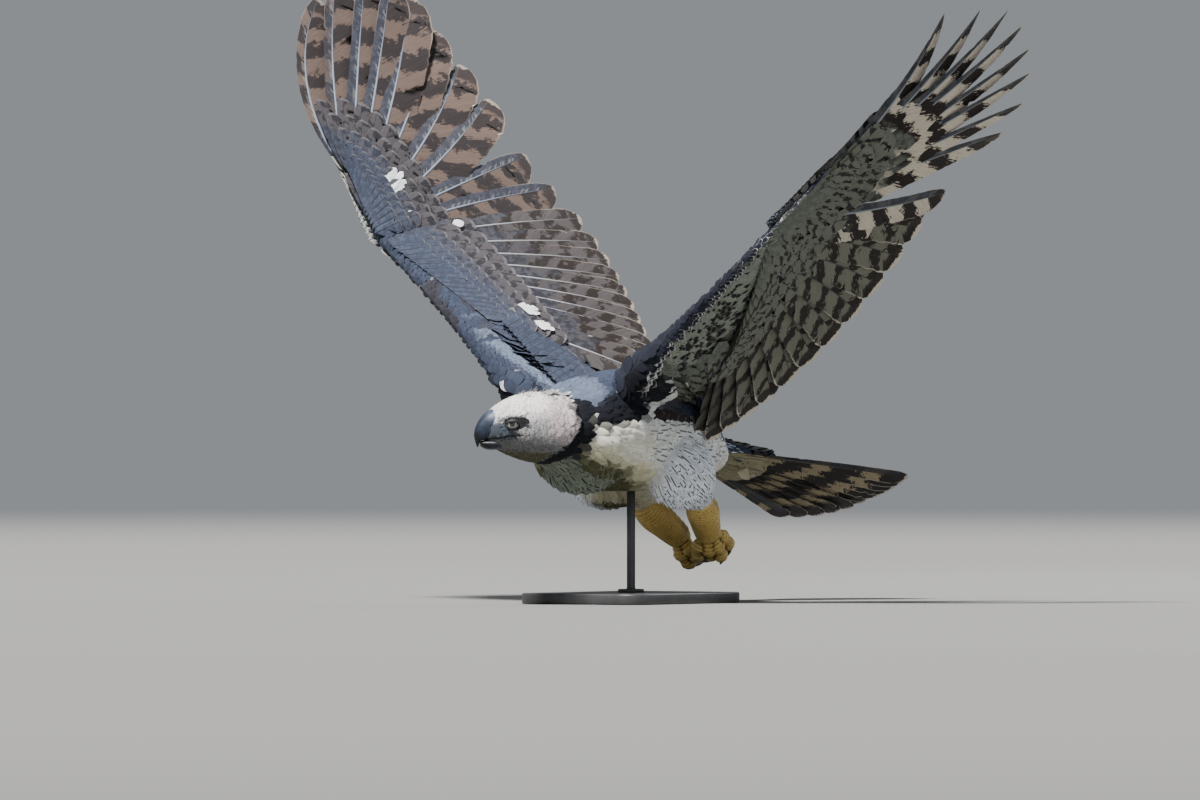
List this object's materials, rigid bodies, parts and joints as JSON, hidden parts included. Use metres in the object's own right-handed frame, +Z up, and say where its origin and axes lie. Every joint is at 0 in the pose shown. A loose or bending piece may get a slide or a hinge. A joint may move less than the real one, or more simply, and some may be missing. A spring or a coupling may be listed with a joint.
{
  "type": "harpy eagle",
  "caption": "Life-size still model of a harpy eagle in flight with raised wings, on a flat display base with one rod.",
  "frame": {"origin": "centre of the underside of the stand's base", "axes": "+X towards the bird's left wing, -Y the way the bird flies, +Z up"},
  "size_m": [1.3501, 0.9562, 1.0647],
  "materials": {
    "breast": "soft white and cream body feathers",
    "collar": "black collar feathers",
    "head": "pale grey head feathers",
    "wing": "slate wing feathers, barred below",
    "thigh": "white feathers with fine dark bars",
    "tail": "dark and pale barred tail feathers",
    "skin": "yellow scaled skin",
    "horn": "dark polished horn",
    "eye": "glassy pale iris with a dark pupil",
    "stand": "satin dark paint"
  },
  "bodies": {
    "root": {"torso": "breast", "neck": "collar", "head": "head", "bill_upper": "horn", "bill_lower": "horn", "eye_left": "eye", "eye_right": "eye", "wing_left_upper_arm": "wing", "wing_left_forearm": "wing", "wing_left_hand": "wing", "wing_right_upper_arm": "wing", "wing_right_forearm": "wing", "wing_right_hand": "wing", "thigh_left": "thigh", "tarsus_left": "skin", "foot_left": "skin", "talon_left_hallux": "horn", "talon_left_inner": "horn", "talon_left_middle": "horn", "talon_left_outer": "horn", "thigh_right": "thigh", "tarsus_right": "skin", "foot_right": "skin", "talon_right_hallux": "horn", "talon_right_inner": "horn", "talon_right_middle": "horn", "talon_right_outer": "horn", "tail": "tail", "stand_rod": "stand", "stand_base": "stand"}
  },
  "joints": []
}
